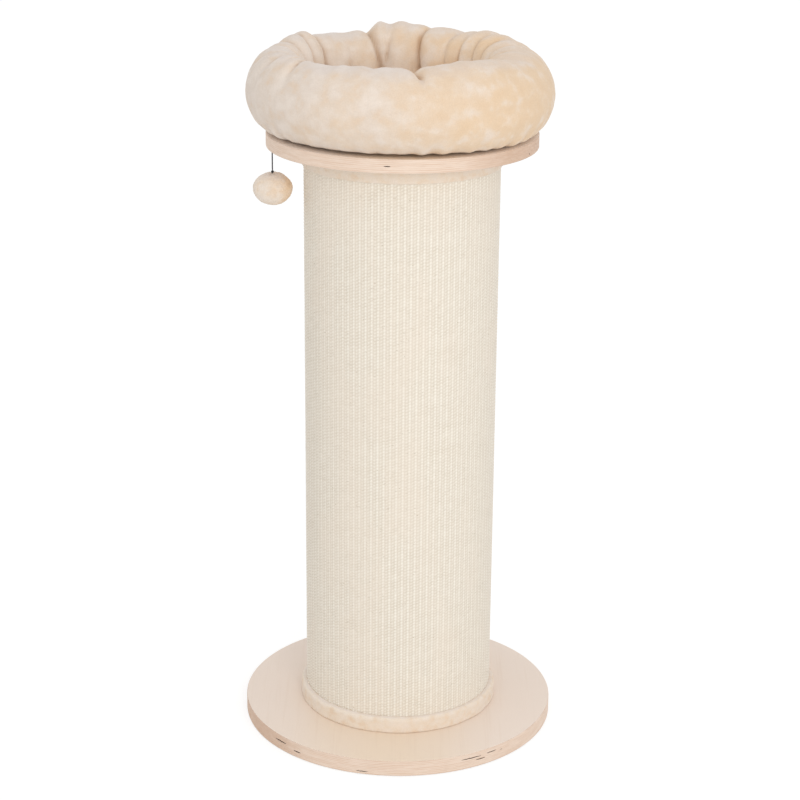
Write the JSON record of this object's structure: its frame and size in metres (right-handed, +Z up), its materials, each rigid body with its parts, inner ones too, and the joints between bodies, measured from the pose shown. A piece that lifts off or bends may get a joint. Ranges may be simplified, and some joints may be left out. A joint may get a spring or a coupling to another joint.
{
  "type": "cat scratching post",
  "caption": "Thick sisal-covered cat scratching post on a round plywood base, with a round plush bed on its top plate and a plush ball toy on a cord under it.",
  "frame": {"origin": "on the floor, under the centre of the round base plate", "axes": "+Z up along the post; -Y is the front, towards the viewer; +X is to the right, so the ball toy hangs at -X"},
  "size_m": [0.4999, 0.5, 1.092],
  "materials": {
    "plywood": "matte",
    "board": "matte",
    "cardboard": "matte",
    "sisal": "matte",
    "band_plush": "matte",
    "bed_plush": "matte",
    "ball_plush": "matte",
    "lining": "matte",
    "filling": "matte",
    "hook_tape": "matte",
    "loop_tape": "matte",
    "felt": "matte",
    "steel": "satin",
    "cord": "matte"
  },
  "bodies": {
    "post": {"floor_felt_pads": "felt", "base_plate": "plywood", "lower_end_disc": "board", "lower_disc_nails": "steel", "base_washers": "steel", "base_bolts": "steel", "base_tee_nuts": "steel", "post_tube": "cardboard", "sisal_cover": "sisal", "seam_staples": "steel", "lower_plush_band": "band_plush", "upper_plush_band": "band_plush", "upper_end_disc": "board", "upper_disc_nails": "steel", "top_washers": "steel", "top_bolts": "steel", "top_tee_nuts": "steel", "top_plate": "plywood", "plate_hook_pads": "hook_tape", "toy_staple": "steel"},
    "bed": {"bed_loop_pads": "loop_tape", "bed_underside_panel": "lining", "bolster_cover": "bed_plush", "bolster_filling": "filling", "floor_cushion_cover": "bed_plush", "floor_cushion_filling": "filling"},
    "toy_knot": {"toy_top_knot": "cord"},
    "toy_string": {"toy_cord": "cord"},
    "toy_ball": {"toy_lower_knot": "cord", "toy_ball_cover": "ball_plush", "toy_ball_filling": "filling"}
  },
  "joints": [
    {"name": "bed_lift", "type": "slide", "parent": "post", "child": "bed", "axis": [0, 0, 1], "range_m": [0, 0.15]},
    {"name": "toy_side_swing", "type": "hinge", "parent": "post", "child": "toy_knot", "pos_m": [-0.19699, -0.02001, 0.9416], "axis": [1, 0, 0], "range_deg": [-60, 60]},
    {"name": "toy_out_swing", "type": "hinge", "parent": "toy_knot", "child": "toy_string", "pos_m": [-0.19699, -0.02001, 0.9416], "axis": [0, 1, 0], "range_deg": [-8, 60]},
    {"name": "toy_stretch", "type": "slide", "parent": "toy_string", "child": "toy_ball", "axis": [0, 0, -1], "range_m": [0, 0.04], "stiffness_N_per_m": 80, "springref_m": -0.006, "deforming": ["toy_cord"]}
  ]
}
